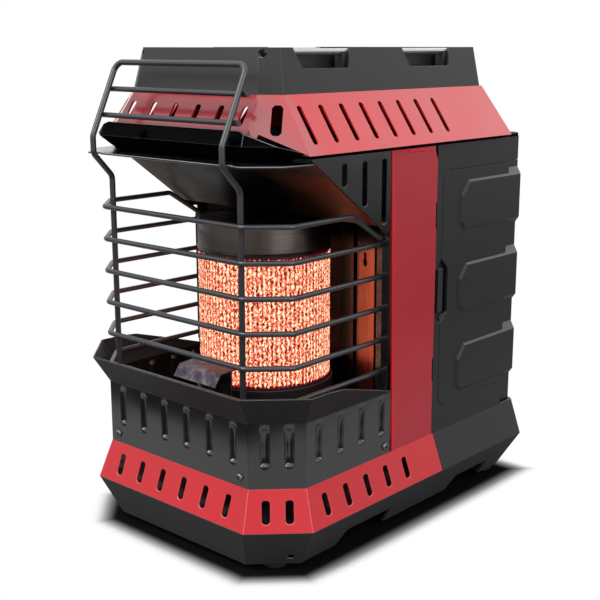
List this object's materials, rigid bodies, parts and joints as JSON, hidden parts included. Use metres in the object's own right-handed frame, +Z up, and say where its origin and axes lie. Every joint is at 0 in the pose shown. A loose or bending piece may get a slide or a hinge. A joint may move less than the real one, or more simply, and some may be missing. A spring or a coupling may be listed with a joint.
{
  "type": "portable propane heater",
  "caption": "Portable propane heater: wire-guarded round burner under a slotted red hood, black tub and plinth, moulded rear shell with a cylinder door.",
  "frame": {"origin": "centre of the bounding box at the bottom of the feet", "axes": "+Z up, the burner and guard face -Y, the cylinder door is on +X"},
  "size_m": [0.2568, 0.3601, 0.41],
  "materials": {
    "black_moulding": "black moulded plastic, fine texture",
    "red_paint": "red enamel on steel sheet",
    "black_paint": "satin black enamel on steel sheet",
    "wire_paint": "black powder coat on steel wire",
    "rubber": "black rubber",
    "screen": "heat-proof mesh, glowing when lit",
    "steel": "bare steel",
    "reflector_sheet": "polished sheet",
    "galvanised": "zinc-plated sheet",
    "brass": "turned brass",
    "cast": "die casting, as cast",
    "ceramic": "white ceramic",
    "grey_moulding": "dark grey moulded plastic"
  },
  "bodies": {
    "housing": {"base_pan": "black_moulding", "top_tray": "black_moulding", "rear_shell_right": "black_moulding", "rear_shell_left": "black_moulding", "control_panel": "black_moulding", "cylinder_cradle": "black_moulding", "lower_band": "red_paint", "side_panel_left": "red_paint", "side_panel_right": "red_paint", "upper_band": "red_paint", "burner_tub": "black_paint", "firebox_floor": "black_paint", "deflector": "black_paint", "cheek_left": "black_paint", "cheek_right": "black_paint", "visor": "black_paint", "brow_plate": "black_paint", "roof_deck": "black_paint", "guard_top_hoop": "wire_paint", "guard_hoops": "wire_paint", "guard_uprights": "wire_paint", "guard_bars": "wire_paint", "rubber_feet": "rubber", "inlet_seal": "rubber", "burner_screen": "screen", "burner_cap": "steel", "tie_bars": "steel", "hinge_pins": "steel", "thermocouple": "steel", "reflector": "reflector_sheet", "heat_shield": "galvanised", "burner_base": "galvanised", "distributor": "galvanised", "mixing_tube": "galvanised", "injector_bracket": "galvanised", "pilot_shield": "galvanised", "bay_bulkhead": "galvanised", "regulator_bracket": "galvanised", "valve_bracket": "galvanised", "tip_switch_frame": "galvanised", "supply_tube": "galvanised", "burner_feed_tube": "galvanised", "pilot_tube": "galvanised", "injector": "brass", "pilot_burner": "brass", "inlet_collar": "brass", "regulator_body": "cast", "regulator_cap": "cast", "control_valve": "cast", "spark_electrode": "ceramic", "igniter_body": "grey_moulding"},
    "door": {"cylinder_door": "black_moulding"},
    "latch": {"door_latch": "grey_moulding"},
    "plunger": {"valve_plunger": "brass"},
    "knob": {"control_knob": "black_moulding", "valve_stem": "steel"},
    "button": {"igniter_button": "grey_moulding"},
    "pendulum": {"tip_pendulum": "steel"}
  },
  "joints": [
    {"name": "door_hinge", "type": "hinge", "parent": "housing", "child": "door", "pos_m": [0.082, 0.17635, 0.2], "axis": [0, 0, 1], "range_deg": [0, 135]},
    {"name": "latch_slide", "type": "slide", "parent": "door", "child": "latch", "axis": [0, 1, 0], "range_m": [0, 0.004], "stiffness_N_per_m": 300},
    {"name": "valve_push", "type": "slide", "parent": "housing", "child": "plunger", "axis": [1, 0, 0], "range_m": [0, 0.003], "stiffness_N_per_m": 800},
    {"name": "knob_turn", "type": "hinge", "parent": "plunger", "child": "knob", "pos_m": [-0.11, 0.10505, 0.25], "axis": [-1, 0, 0], "range_deg": [0, 240]},
    {"name": "igniter_press", "type": "slide", "parent": "housing", "child": "button", "axis": [1, 0, 0], "range_m": [0, 0.005], "stiffness_N_per_m": 1000},
    {"name": "tip_swing", "type": "hinge", "parent": "housing", "child": "pendulum", "pos_m": [-0.0865, 0.06455, 0.0708], "axis": [1, 0, 0], "range_deg": [-15, 15]}
  ]
}
